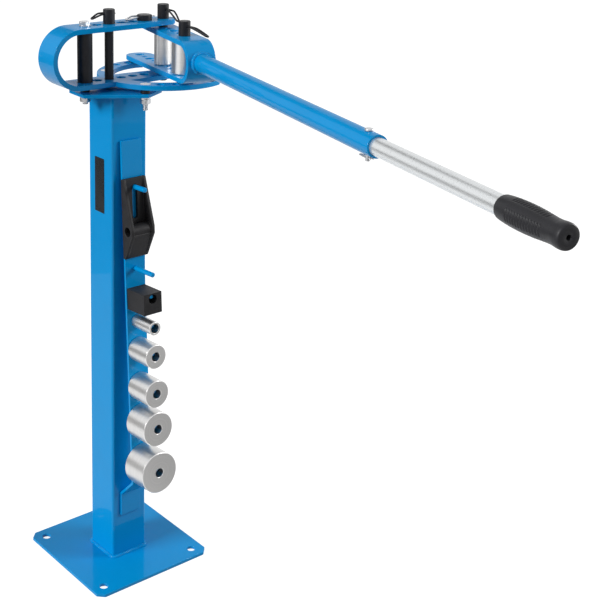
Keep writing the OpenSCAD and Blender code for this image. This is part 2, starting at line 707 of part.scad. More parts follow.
base_plate();
base_weld();
post();
name_label();
head_plate();
head_weld();
rack_strip();
rack_pegs();
fixed_frame();
head_spacers();
frame_sleeve();
frame_bolt();
wing_screws();
flat_washers();
spring_washers();
head_nuts();
centre_pin();
centre_pin_clip();
anchor_pin();
anchor_pin_clip();
stop_pin();
stop_pin_clip();
follower_pin();
follower_pin_clip();
centre_die();
follower_die();
handle_frame();
handle_socket();
socket_weld();
handle_bar();
handle_grip();
lock_pin();
lock_pin_clip();
vee_block();
square_block();
die_1_inch();
die_1_3_4_inch();
die_2_inch();
die_2_1_2_inch();
die_3_inch();
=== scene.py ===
import json
import math

import bmesh
import bpy
from bpy.props import FloatProperty, FloatVectorProperty, IntProperty, PointerProperty
from mathutils import Matrix, Vector, noise


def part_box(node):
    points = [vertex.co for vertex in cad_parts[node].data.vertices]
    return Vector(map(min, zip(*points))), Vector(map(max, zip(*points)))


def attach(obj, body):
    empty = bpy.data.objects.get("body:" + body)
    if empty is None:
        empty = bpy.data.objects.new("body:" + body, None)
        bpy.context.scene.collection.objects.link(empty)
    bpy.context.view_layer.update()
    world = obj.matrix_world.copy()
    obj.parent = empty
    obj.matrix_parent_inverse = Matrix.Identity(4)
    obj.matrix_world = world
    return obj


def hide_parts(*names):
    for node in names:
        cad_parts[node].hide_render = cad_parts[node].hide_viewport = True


bl_info = {
    "name": "Tube Bender",
    "version": (1, 0, 0),
    "blender": (4, 5, 0),
    "location": "View3D > Sidebar > Tube Bender",
    "description": "Dresses the packed CAD frame of a pedestal tube bender for rendering",
    "category": "Object",
}

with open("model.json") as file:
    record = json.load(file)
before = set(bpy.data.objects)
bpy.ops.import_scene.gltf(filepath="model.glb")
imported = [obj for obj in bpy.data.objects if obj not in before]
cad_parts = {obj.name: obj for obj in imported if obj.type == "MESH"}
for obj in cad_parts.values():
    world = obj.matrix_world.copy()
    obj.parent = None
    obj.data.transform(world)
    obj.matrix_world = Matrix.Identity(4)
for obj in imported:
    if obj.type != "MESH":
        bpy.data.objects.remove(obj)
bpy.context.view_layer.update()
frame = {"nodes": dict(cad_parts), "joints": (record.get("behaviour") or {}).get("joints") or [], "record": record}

BODY = {node: body for body, group in frame["record"]["behaviour"]["bodies"].items() for node in group}
JOINT = {joint["name"]: joint for joint in frame["joints"]}
MM = 0.001
FLAT_ANGLE = math.radians(0.5)
CUT_ANGLE = math.radians(32)
WELD_SWELL = 0.16

# Where the handle lies, from the joint of the handle and the bore of the follower die
PIVOT = Vector(JOINT["handle_swing"]["pos_m"])
ALONG = Vector(JOINT["follower_die_spin"]["pos_m"]) - PIVOT
ALONG.normalize()
SIDE = Vector((0, 0, 1)).cross(ALONG)


class BenderColours(bpy.types.PropertyGroup):
    """Colours of the finishes."""
    blue: FloatVectorProperty(name="Blue paint", description="Powder coat of the stand and the handle",
                              subtype="COLOR", size=3, min=0, max=1, default=(0.0, 0.285, 0.66))
    black: FloatVectorProperty(name="Black steel", description="Oxide on the pins, spacers and clips",
                               subtype="COLOR", size=3, min=0, max=1, default=(0.012, 0.012, 0.015))
    casting: FloatVectorProperty(name="Cast black", description="Paint of the two anchor blocks",
                                 subtype="COLOR", size=3, min=0, max=1, default=(0.017, 0.0165, 0.018))
    steel: FloatVectorProperty(name="Turned steel", description="Bare steel of the dies",
                               subtype="COLOR", size=3, min=0, max=1, default=(0.68, 0.675, 0.668))
    zinc: FloatVectorProperty(name="Zinc", description="Plating of the screws, nuts and washers",
                              subtype="COLOR", size=3, min=0, max=1, default=(0.56, 0.57, 0.59))
    silver: FloatVectorProperty(name="Silver bar", description="Plating of the handle bar",
                                subtype="COLOR", size=3, min=0, max=1, default=(0.74, 0.76, 0.77))
    rubber: FloatVectorProperty(name="Rubber", description="Moulded rubber of the grip",
                                subtype="COLOR", size=3, min=0, max=1, default=(0.014, 0.014, 0.017))
    film: FloatVectorProperty(name="Label film", description="Plain film on the post's narrow side",
                              subtype="COLOR", size=3, min=0, max=1, default=(0.006, 0.009, 0.012))


class BenderSizes(bpy.types.PropertyGroup):
    """Small sizes of the details that the CAD frame doesn't hold."""
    plate_edge: FloatProperty(name="Plate edge", description="Rounding of the cut edges of plates and flat bars",
                              unit="LENGTH", min=0.0001, max=0.002, default=0.0008)
    turned_edge: FloatProperty(name="Turned edge", description="Rounding of the edges of pins, spacers and screws",
                               unit="LENGTH", min=0.0001, max=0.001, default=0.0003)
    cast_edge: FloatProperty(name="Cast edge", description="Rounding of the edges of the cast anchor block",
                             unit="LENGTH", min=0.0002, max=0.003, default=0.0012)
    bead_radius: FloatProperty(name="Weld radius", description="Radius of the weld beads round the post",
                               unit="LENGTH", min=0.002, max=0.006, default=0.0044)
    bead_pitch: FloatProperty(name="Weld ripple", description="Step between the ripples of a weld bead",
                              unit="LENGTH", min=0.001, max=0.005, default=0.0021)
    thread_pitch: FloatProperty(name="Thread pitch", description="Pitch of the M10 screws",
                                unit="LENGTH", min=0.001, max=0.002, default=0.0015)
    die_bore: FloatProperty(name="Die bore", description="Bore of the dies",
                            unit="LENGTH", min=0.016, max=0.018, default=0.017)
    die_length: FloatProperty(name="Die length", description="Length of every die",
                              unit="LENGTH", min=0.05, max=0.06, default=0.056)
    wire_gain: FloatProperty(name="Wire gain", description="Radius added to the wires before rounding takes some off",
                             unit="LENGTH", min=0, max=0.0004, default=0.0003)
    grip_length: FloatProperty(name="Grip length", description="Length of the rubber grip",
                               unit="LENGTH", min=0.1, max=0.112, default=0.1095)
    grip_width: FloatProperty(name="Grip width", description="Largest diameter of the rubber grip",
                              unit="LENGTH", min=0.03, max=0.0345, default=0.0343)
    grip_reach: FloatProperty(name="Grip reach", description="From the centre pin to the tip of the grip",
                              unit="LENGTH", min=1.0, max=1.2, default=1.12)
    rib_count: IntProperty(name="Grip ribs", description="Grooves in each ribbed panel of the grip",
                           min=5, max=20, default=13)
    rib_depth: FloatProperty(name="Rib depth", description="Depth of the grooves of the grip",
                             unit="LENGTH", min=0.0003, max=0.002, default=0.0012)
    bend_radius: FloatProperty(name="Bend radius", description="Outer radius of the handle frame's bend",
                               unit="LENGTH", min=0.03, max=0.04, default=0.0373)
    bend_start: FloatProperty(name="Bend start", description="From the centre pin to the start of that bend",
                              unit="LENGTH", min=0.13, max=0.15, default=0.141)
    socket_radius: FloatProperty(name="Socket radius", description="Outer radius of the socket tube",
                                 unit="LENGTH", min=0.015, max=0.018, default=0.016)
    socket_rise: FloatProperty(name="Socket rise", description="Height of the socket's axis above the bend's",
                               unit="LENGTH", min=0, max=0.006, default=0.003)
    floor_radius: FloatProperty(name="Floor radius", description="Radius of the studio floor",
                                unit="LENGTH", min=2, max=40, default=24)


def colours():
    return bpy.context.scene.bender_colours


def sizes():
    return bpy.context.scene.bender_sizes


# Shader helpers
class Board:
    """Adds nodes to a node tree and joins them."""

    def __init__(self, tree):
        self.tree = tree

    def add(self, kind, sockets=None, **settings):
        node = self.tree.nodes.new("ShaderNode" + kind)
        for key, value in settings.items():
            setattr(node, key, value)
        for key, value in (sockets or {}).items():
            if isinstance(value, bpy.types.NodeSocket):
                self.tree.links.new(value, node.inputs[key])
            else:
                node.inputs[key].default_value = value
        return node

    def sum(self, operation, first, second):
        return self.add("Math", {0: first, 1: second}, operation=operation).outputs[0]

    def place(self, kind, **settings):
        node = self.tree.nodes.new("ShaderNodeGroup")
        node.node_tree = kind
        for key, value in settings.items():
            key = key.replace("_", " ").capitalize()
            if isinstance(value, bpy.types.NodeSocket):
                self.tree.links.new(value, node.inputs[key])
            else:
                node.inputs[key].default_value = value
        return node


def new_group(name, inputs, outputs):
    """An empty shader node group with named sockets."""
    tree = bpy.data.node_groups.new(name, "ShaderNodeTree")
    for label, kind, value in inputs:
        socket = tree.interface.new_socket(label, in_out="INPUT", socket_type="NodeSocket" + kind)
        if value is not None:
            socket.default_value = value
    for label, kind in outputs:
        tree.interface.new_socket(label, in_out="OUTPUT", socket_type="NodeSocket" + kind)
    board = Board(tree)
    start = tree.nodes.new("NodeGroupInput")
    end = tree.nodes.new("NodeGroupOutput")
    return board, start.outputs, end.inputs


def mottle():
    """Node group: cloudy colour, a value that drifts between two ends, and fine grain as a height."""
    if "mottle" in bpy.data.node_groups:
        return bpy.data.node_groups["mottle"]
    board, given, out = new_group(
        "mottle",
        [("Vector", "Vector", None), ("Cloud", "Float", 20.0), ("Grain", "Float", 600.0), ("Low", "Float", 0.3),
         ("High", "Float", 0.4), ("First", "Color", (0.5, 0.5, 0.5, 1)), ("Second", "Color", (0.5, 0.5, 0.5, 1))],
        [("Color", "Color"), ("Value", "Float"), ("Height", "Float")])
    cloud = board.add("TexNoise", {"Vector": given["Vector"], "Scale": given["Cloud"], "Detail": 3.0})
    grain = board.add("TexNoise", {"Vector": given["Vector"], "Scale": given["Grain"], "Detail": 2.0})
    both = board.sum("ADD", board.sum("MULTIPLY", cloud.outputs[0], 0.65),
                     board.sum("MULTIPLY", grain.outputs[0], 0.35))
    spread = board.add("MapRange", {"Value": both, "From Min": 0.35, "From Max": 0.65})
    value = board.add("MapRange", {"Value": spread.outputs[0], "To Min": given["Low"], "To Max": given["High"]})
    mix = board.add("Mix", data_type="RGBA")
    board.tree.links.new(spread.outputs[0], mix.inputs["Factor"])
    board.tree.links.new(given["First"], mix.inputs[6])
    board.tree.links.new(given["Second"], mix.inputs[7])
    board.tree.links.new(mix.outputs[2], out["Color"])
    board.tree.links.new(value.outputs[0], out["Value"])
    board.tree.links.new(grain.outputs[0], out["Height"])
    return board.tree


def rings():
    """Node group: tool marks of a lathe, round the Z axis of the vector it gets."""
    if "rings" in bpy.data.node_groups:
        return bpy.data.node_groups["rings"]
    board, given, out = new_group(
        "rings", [("Vector", "Vector", None), ("Marks", "Float", 1500.0), ("Broad", "Float", 160.0)],
        [("Shade", "Float"), ("Height", "Float")])
    apart = board.add("SeparateXYZ", {0: given["Vector"]})
    flat = board.add("CombineXYZ", {"X": apart.outputs["X"], "Y": apart.outputs["Y"]})
    radius = board.add("VectorMath", {0: flat.outputs[0]}, operation="LENGTH").outputs["Value"]
    place = board.sum("ADD", board.sum("MULTIPLY", radius, 1.37), apart.outputs["Z"])
    marks = board.add("TexNoise", {"W": place, "Scale": given["Marks"], "Detail": 2.0}, noise_dimensions="1D")
    broad = board.add("TexNoise", {"W": place, "Scale": given["Broad"], "Detail": 1.0}, noise_dimensions="1D")
    shade = board.sum("ADD", board.sum("MULTIPLY", marks.outputs[0], 0.6),
                      board.sum("MULTIPLY", broad.outputs[0], 0.4))
    spread = board.add("MapRange", {"Value": shade, "From Min": 0.3, "From Max": 0.7})
    board.tree.links.new(spread.outputs[0], out["Shade"])
    board.tree.links.new(marks.outputs[0], out["Height"])
    return board.tree


def new_material(name, **plain):
    """A material, its board and its Principled shader with plain values set on the sockets."""
    material = bpy.data.materials.new(name)
    material.use_nodes = True
    shader = material.node_tree.nodes["Principled BSDF"]
    for key, value in plain.items():
        shader.inputs[key.replace("_", " ").title().replace("Ior", "IOR")].default_value = value
    return material, Board(material.node_tree), shader


def shade_of(colour, factor):
    return (*(min(1, c * factor) for c in colour), 1)


def mottled(name, colour, cloud, grain, low, high, drift, bump, depth, stretch=None, turn=None, **plain):
    """A finish made of the mottle group: drift is how far the colour wanders, depth the height of the grain."""
    if name in bpy.data.materials:
        return bpy.data.materials[name]
    material, board, shader = new_material(name, **plain)
    vector = board.add("TexCoord").outputs["Object"]
    if stretch:
        vector = board.add("Mapping", {"Vector": vector, "Rotation": turn or (0, 0, 0), "Scale": stretch}).outputs[0]
    part = board.place(mottle(), vector=vector, cloud=cloud, grain=grain, low=low, high=high,
                       first=shade_of(colour, 1 - drift), second=shade_of(colour, 1 + drift))
    relief = board.add("Bump", {"Strength": bump, "Distance": depth, "Height": part.outputs["Height"]})
    for out, socket in ((part.outputs["Color"], "Base Color"), (part.outputs["Value"], "Roughness"),
                        (relief.outputs[0], "Normal")):
        board.tree.links.new(out, shader.inputs[socket])
    return material


def blue_paint():
    return mottled("blue_powder_coat", colours().blue, 14, 620, 0.3, 0.4, 0.03, 0.12, 0.1 * MM,
                   specular_ior_level=0.05, coat_weight=0.24, coat_roughness=0.03)


def black_oxide():
    return mottled("black_oxide", colours().black, 90, 1400, 0.32, 0.48, 0.25, 0.25, 0.08 * MM,
                   specular_ior_level=0.25)


def cast_black():
    return mottled("painted_casting", colours().casting, 45, 950, 0.42, 0.6, 0.3, 0.3, 0.08 * MM,
                   specular_ior_level=0.2)


def zinc_plate():
    return mottled("bright_zinc", colours().zinc, 260, 1800, 0.2, 0.38, 0.09, 0.15, 0.05 * MM, metallic=1.0)


def silver_bar():
    heading = math.atan2(ALONG.y, ALONG.x)
    return mottled("satin_bar", colours().silver, 700, 5200, 0.26, 0.38, 0.03, 0.2, 0.02 * MM,
                   stretch=(0.02, 1, 1), turn=(0, 0, -heading), metallic=0.7)


def moulded_rubber():
    return mottled("moulded_rubber", colours().rubber, 60, 2100, 0.36, 0.5, 0.15, 0.3, 0.1 * MM,
                   specular_ior_level=0.28)


def label_film():
    return mottled("plain_film", colours().film, 30, 900, 0.24, 0.34, 0.12, 0.06, 0.03 * MM,
                   specular_ior_level=0.3)


def turned_steel(name, centre, axis):
    """Bare steel with tool marks round an axis."""
    material, board, shader = new_material(name, metallic=1.0)
    turn = Vector((0, 0, 1)).rotation_difference(axis).to_euler()
    local = board.add("Mapping", {"Vector": board.add("TexCoord").outputs["Object"], "Location": centre,
                                  "Rotation": turn}, vector_type="TEXTURE")
    part = board.place(rings(), vector=local.outputs[0], marks=1400.0, broad=140.0)
    mix = board.add("Mix", data_type="RGBA")
    board.tree.links.new(part.outputs["Shade"], mix.inputs["Factor"])
    mix.inputs[6].default_value = shade_of(colours().steel, 0.9)
    mix.inputs[7].default_value = shade_of(colours().steel, 1.08)
    rough = board.add("MapRange", {"Value": part.outputs["Shade"], "To Min": 0.38, "To Max": 0.3})
    relief = board.add("Bump", {"Strength": 0.1, "Distance": 0.01 * MM, "Height": part.outputs["Height"]})
    for out, socket in ((mix.outputs[2], "Base Color"), (rough.outputs[0], "Roughness"),
                        (relief.outputs[0], "Normal")):
        board.tree.links.new(out, shader.inputs[socket])
    return material


# Mesh helpers
def merged(node, flats=True):
    """A bmesh of a CAD node with its loose triangles merged, and its flats made whole."""
    bm = bmesh.new()
    bm.from_mesh(frame["nodes"][node].data)
    bmesh.ops.remove_doubles(bm, verts=bm.verts, dist=0.03 * MM)
    if flats:
        bmesh.ops.dissolve_degenerate(bm, dist=0.01 * MM, edges=bm.edges)
        bmesh.ops.dissolve_limit(bm, angle_limit=FLAT_ANGLE, verts=bm.verts, edges=bm.edges)
    return bm


def put(name, bm, material, node, stands_for=(), smooth=40):
    """Makes the bmesh a piece that rides with a CAD node and stands for the nodes named."""
    mesh = bpy.data.meshes.new(name)
    bm.to_mesh(mesh)
    bm.free()
    mesh.shade_smooth()
    if smooth:
        mesh.set_sharp_from_angle(angle=math.radians(smooth))
    mesh.materials.append(material)
    obj = bpy.data.objects.new(name, mesh)
    bpy.context.scene.collection.objects.link(obj)
    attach(obj, BODY[node])
    if stands_for:
        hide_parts(*stands_for)
    return obj


def eased(node, material, width, segments=2, bm=None):
    """A piece like the CAD node, with its sharp edges rounded."""
    obj = put(node + "_piece", bm or merged(node), material, node, [node], smooth=None)
    bevel = obj.modifiers.new("Edges", "BEVEL")
    bevel.width = width
    bevel.segments = segments
    bevel.limit_method = "ANGLE"
    bevel.angle_limit = CUT_ANGLE
    bevel.use_clamp_overlap = False
    return levelled(obj)


def levelled(obj):
    """Lets the large faces of a piece set its shading, so that flats look flat up to their rounded edges."""
    level = obj.modifiers.new("Level", "WEIGHTED_NORMAL")
    level.mode = "FACE_AREA"
    level.weight = 100
    level.keep_sharp = True
    return obj


def swept(steps, sides, place):
    """A tube rolled up from a grid: place gives the point for shares along it and round it."""
    bm = bmesh.new()
    bmesh.ops.create_grid(bm, x_segments=steps, y_segments=sides, size=0.5)
    for v in bm.verts:
        v.co = place(v.co.x + 0.5, v.co.y + 0.5)
    bmesh.ops.remove_doubles(bm, verts=bm.verts, dist=0.01 * MM)
    bmesh.ops.recalc_face_normals(bm, faces=bm.faces)
    return bm


def ripple(length, across, seed):
    """Relative swelling of a weld bead at a length along it, with curved fronts."""
    phase = (length / sizes().bead_pitch + 0.35 * across * across) % 1
    uneven = noise.noise(Vector((length * 160, seed, across * 0.7)))
    return 1 + WELD_SWELL * (phase - 0.5) + WELD_SWELL * uneven


def square_bead(z, up, seed):
    """A weld bead round the post at a height, on the side that up points to."""
    low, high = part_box("post")
    half, corner = (high.x - low.x) / 2, 5 * MM
    flat = 2 * (half - corner)
    bend = corner * math.pi / 2
    lap = 4 * (flat + bend)

    def place(share, side):
        length = share % 1 * lap
        quarter, rest = divmod(length, flat + bend)
        if rest < flat:
            point, out = Vector((half, rest - flat / 2, 0)), Vector((1, 0, 0))
        else:
            turn = (rest - flat) / corner
            out = Vector((math.cos(turn), math.sin(turn), 0))
            point = Vector((half - corner, half - corner, 0)) + out * corner
        spin = Matrix.Rotation(quarter * math.pi / 2, 3, "Z")
        angle = side * 2 * math.pi
        radius = sizes().bead_radius * ripple(length, math.cos(angle - math.pi / 4), seed)
        offset = out * math.cos(angle) + Vector((0, 0, up)) * math.sin(angle)
        return spin @ (point + offset * radius) + Vector((0, 0, z))

    return swept(560, 14, place)


def turned(profile, steps=96):
    """A solid of revolution round Z from a closed profile of (radius, height) pairs."""
    bm = bmesh.new()
    verts = [bm.verts.new((r, 0, z)) for r, z in profile]
    edges = [bm.edges.new((a, b)) for a, b in zip(verts, verts[1:] + verts[:1])]
    bmesh.ops.spin(bm, geom=verts + edges, cent=(0, 0, 0), axis=(0, 0, 1), angle=2 * math.pi, steps=steps,
                   use_merge=True)
    bmesh.ops.remove_doubles(bm, verts=bm.verts, dist=0.001 * MM)
    bmesh.ops.recalc_face_normals(bm, faces=bm.faces)
    return bm


def rounded(profile, radius):
    """The closed profile with each corner cut into three short sides, as a small rounding."""
    points = []
    for i, (r, z) in enumerate(profile):
        here = Vector((r, z))
        before = (Vector(profile[i - 1]) - here).normalized()
        after = (Vector(profile[(i + 1) % len(profile)]) - here).normalized()
        points += [here + before * radius, here + (before + after) * radius * 0.29, here + after * radius]
    return [(p.x, p.y) for p in points]


def threaded_end(x, y, low, high, diameter):
    """A threaded bar, cut flat at both ends."""
    pitch = sizes().thread_pitch
    steps = 28
    turns = math.ceil((high - low) / pitch) + 2
    root = diameter / 2 - 0.6 * pitch
    bm = bmesh.new()
    verts = [bm.verts.new((x + r, y, low - pitch + z * pitch))
             for r, z in ((root, 0), (diameter / 2, 0.44), (diameter / 2, 0.56), (root, 1))]
    edges = [bm.edges.new(pair) for pair in zip(verts, verts[1:])]
    bmesh.ops.spin(bm, geom=verts + edges, cent=(x, y, 0), axis=(0, 0, 1), dvec=(0, 0, pitch / steps),
                   angle=2 * math.pi * turns, steps=steps * turns)
    bmesh.ops.remove_doubles(bm, verts=bm.verts, dist=0.01 * MM)
    for height, side in ((low, -1), (high, 1)):
        bmesh.ops.bisect_plane(bm, geom=bm.verts[:] + bm.edges[:] + bm.faces[:], plane_co=(0, 0, height),
                               plane_no=(0, 0, side), clear_outer=True)
    bmesh.ops.holes_fill(bm, edges=[e for e in bm.edges if len(e.link_faces) == 1])
    bmesh.ops.recalc_face_normals(bm, faces=bm.faces)
    return bm


def joined(parts):
    """One bmesh that holds all the parts."""
    whole = bmesh.new()
    for part in parts:
        mesh = bpy.data.meshes.new("part")
        part.to_mesh(mesh)
        part.free()
        whole.from_mesh(mesh)
        bpy.data.meshes.remove(mesh)
    return whole


def at(bm, centre, axis):
    """The bmesh with its Z axis turned to the axis given and its origin moved to the centre."""
    turn = Vector((0, 0, 1)).rotation_difference(axis).to_matrix()
    bmesh.ops.rotate(bm, cent=(0, 0, 0), matrix=turn, verts=bm.verts)
    bmesh.ops.translate(bm, vec=centre, verts=bm.verts)
    return bm


# Operators, one for each group of pieces
class BENDER_OT_plates(bpy.types.Operator):
    """Floor plate and three-cornered head plate with rounded cut edges"""
    bl_idname = "bender.plates"
    bl_label = "Plates"

    def execute(self, context):
        for node in ("base_plate", "head_plate"):
            eased(node, blue_paint(), sizes().plate_edge)
        return {"FINISHED"}


class BENDER_OT_post(bpy.types.Operator):
    """Square tube of the stand"""
    bl_idname = "bender.post"
    bl_label = "Post"

    def execute(self, context):
        eased("post", blue_paint(), sizes().turned_edge)
        return {"FINISHED"}


class BENDER_OT_welds(bpy.types.Operator):
    """Rippled weld beads at both ends of the post and round the handle's socket"""
    bl_idname = "bender.welds"
    bl_label = "Welds"

    def execute(self, context):
        foot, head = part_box("post")[0].z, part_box("post")[1].z
        put("base_weld_piece", square_bead(foot, 1, 1.0), blue_paint(), "base_weld", ["base_weld"])
        put("head_weld_piece", square_bead(head, -1, 5.0), blue_paint(), "head_weld", ["head_weld"])
        self.socket_bead()
        return {"FINISHED"}

    def socket_bead(self):
        """The bead follows the line where the tube meets the round bend."""
        tube_r, up = sizes().socket_radius, sizes().socket_rise
        bend_r, bend_x = sizes().bend_radius, sizes().bend_start
        axis_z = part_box("handle_socket")[1].z - tube_r

        def place(share, side):
            turn = share * 2 * math.pi
            out = SIDE * math.cos(turn) + Vector((0, 0, math.sin(turn)))
            rise = up + tube_r * math.sin(turn)
            seam = bend_x + math.sqrt(bend_r ** 2 - rise ** 2)
            angle = side * 2 * math.pi
            radius = 4.1 * MM * ripple(share * 2 * math.pi * tube_r, math.cos(angle - math.pi / 4), 9.0)
            point = PIVOT + ALONG * (seam - 0.3 * MM) + out * tube_r
            point.z += axis_z - PIVOT.z
            return point + (out * math.cos(angle) + ALONG * math.sin(angle)) * radius

        put("socket_weld_piece", swept(200, 14, place), blue_paint(), "socket_weld", ["socket_weld"])


class BENDER_OT_label(bpy.types.Operator):
    """Bare film label with round corners on the post's narrow side"""
    bl_idname = "bender.label"
    bl_label = "Label"

    def execute(self, context):
        low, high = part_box("name_label")
        bm = bmesh.new()
        bmesh.ops.create_cube(bm, size=1)
        bmesh.ops.scale(bm, vec=high - low, verts=bm.verts)
        corners = [e for e in bm.edges if abs(e.verts[0].co.x - e.verts[1].co.x) > 0.1 * MM]
        bmesh.ops.bevel(bm, geom=corners, offset=2 * MM, affect="EDGES", segments=5, profile=0.5, material=-1)
        rim = [e for e in bm.edges if all(v.co.x < 0 for v in e.verts) and e.calc_face_angle() > 1]
        bmesh.ops.bevel(bm, geom=rim, offset=0.15 * MM, affect="EDGES", segments=2, profile=0.5, material=-1)
        bmesh.ops.translate(bm, vec=(low + high) / 2, verts=bm.verts)
        levelled(put("name_label_piece", bm, label_film(), "name_label", ["name_label"]))
        return {"FINISHED"}


class BENDER_OT_rack(bpy.types.Operator):
    """Leaning rack strip and its pegs"""
    bl_idname = "bender.rack"
    bl_label = "Rack"

    def execute(self, context):
        eased("rack_strip", blue_paint(), sizes().plate_edge)
        eased("rack_pegs", blue_paint(), sizes().turned_edge)
        return {"FINISHED"}


class BENDER_OT_fixed_frame(bpy.types.Operator):
    """Fixed U frame with its pin holes and the curved stop wing"""
    bl_idname = "bender.fixed_frame"
    bl_label = "Fixed frame"

    def execute(self, context):
        eased("fixed_frame", blue_paint(), sizes().plate_edge)
        return {"FINISHED"}


class BENDER_OT_screws(bpy.types.Operator):
    """Clamping bolt, wing screws with threaded ends, nuts and washers"""
    bl_idname = "bender.screws"
    bl_label = "Screws, nuts and washers"

    # how far the thread runs up into the nut, and its outer diameter
    HIDDEN = 2 * MM
    THREAD = 9.9 * MM

    def execute(self, context):
        for node in ("flat_washers", "spring_washers", "head_nuts"):
            eased(node, zinc_plate(), sizes().turned_edge)
        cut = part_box("head_nuts")[0].z + self.HIDDEN
        for node in ("frame_bolt", "wing_screws"):
            bm = merged(node)
            bmesh.ops.bisect_plane(bm, geom=bm.verts[:] + bm.edges[:] + bm.faces[:],
                                   plane_co=(0, 0, cut), plane_no=(0, 0, -1), clear_outer=True)
            bmesh.ops.holes_fill(bm, edges=[e for e in bm.edges if len(e.link_faces) == 1])
            eased(node, zinc_plate(), sizes().turned_edge, bm=bm)
        tips = [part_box(node)[0].z for node in ("frame_bolt", "wing_screws", "wing_screws")]
        ends = [threaded_end(x, y, tip, cut, self.THREAD) for (x, y), tip in zip(self.axes(), tips)]
        put("screw_threads", joined(ends), zinc_plate(), "frame_bolt", smooth=32)
        return {"FINISHED"}

    def axes(self):
        """Where the three screws stand, from the islands of the nuts, the long bolt first."""
        bm = merged("head_nuts", flats=False)
        left = set(bm.verts)
        places = []
        while left:
            island, rim = set(), {left.pop()}
            while rim:
                v = rim.pop()
                island.add(v)
                left.discard(v)
                rim |= {e.other_vert(v) for e in v.link_edges} - island
            span = [(min(v.co[i] for v in island) + max(v.co[i] for v in island)) / 2 for i in (0, 1)]
            places.append(tuple(span))
        bm.free()
        return sorted(places)


class BENDER_OT_spacers(bpy.types.Operator):
    """Distance pieces under the fixed frame and the thick sleeve between its arms"""
    bl_idname = "bender.spacers"
    bl_label = "Spacers and sleeve"

    def execute(self, context):
        for node in ("head_spacers", "frame_sleeve"):
            eased(node, black_oxide(), sizes().turned_edge)
        return {"FINISHED"}


class BENDER_OT_pins(bpy.types.Operator):
    """Loose pins with drilled heads, and the lock pin of the handle"""
    bl_idname = "bender.pins"
    bl_label = "Pins"

    def execute(self, context):
        for node in ("centre_pin", "anchor_pin", "stop_pin", "follower_pin"):
            eased(node, black_oxide(), sizes().turned_edge)
        eased("lock_pin", zinc_plate(), sizes().turned_edge)
        return {"FINISHED"}


class BENDER_OT_clips(bpy.types.Operator):
    """Bent wire clips in the heads of the pins"""
    bl_idname = "bender.clips"
    bl_label = "Wire clips"

    def execute(self, context):
        for node, finish in (("centre_pin_clip", black_oxide), ("anchor_pin_clip", black_oxide),
                             ("stop_pin_clip", zinc_plate), ("follower_pin_clip", black_oxide),
                             ("lock_pin_clip", zinc_plate)):
            bm = merged(node, flats=False)
            bmesh.ops.join_triangles(bm, faces=bm.faces, angle_face_threshold=math.radians(30),
                                     angle_shape_threshold=math.radians(50))
            bm.normal_update()
            for v in bm.verts:
                v.co += v.normal * sizes().wire_gain
            obj = put(node + "_piece", bm, finish(), node, [node], smooth=None)
            round_off = obj.modifiers.new("Round", "SUBSURF")
            round_off.levels = round_off.render_levels = 2
        return {"FINISHED"}


class BENDER_OT_handle_frame(bpy.types.Operator):
    """Swinging U frame with its tail"""
    bl_idname = "bender.handle_frame"
    bl_label = "Handle frame"

    def execute(self, context):
        eased("handle_frame", blue_paint(), sizes().plate_edge)
        return {"FINISHED"}


class BENDER_OT_handle_tubes(bpy.types.Operator):
    """Blue socket tube and the silver bar in it"""
    bl_idname = "bender.handle_tubes"
    bl_label = "Socket and bar"

    def execute(self, context):
        eased("handle_socket", blue_paint(), sizes().turned_edge)
        eased("handle_bar", silver_bar(), sizes().turned_edge)
        return {"FINISHED"}


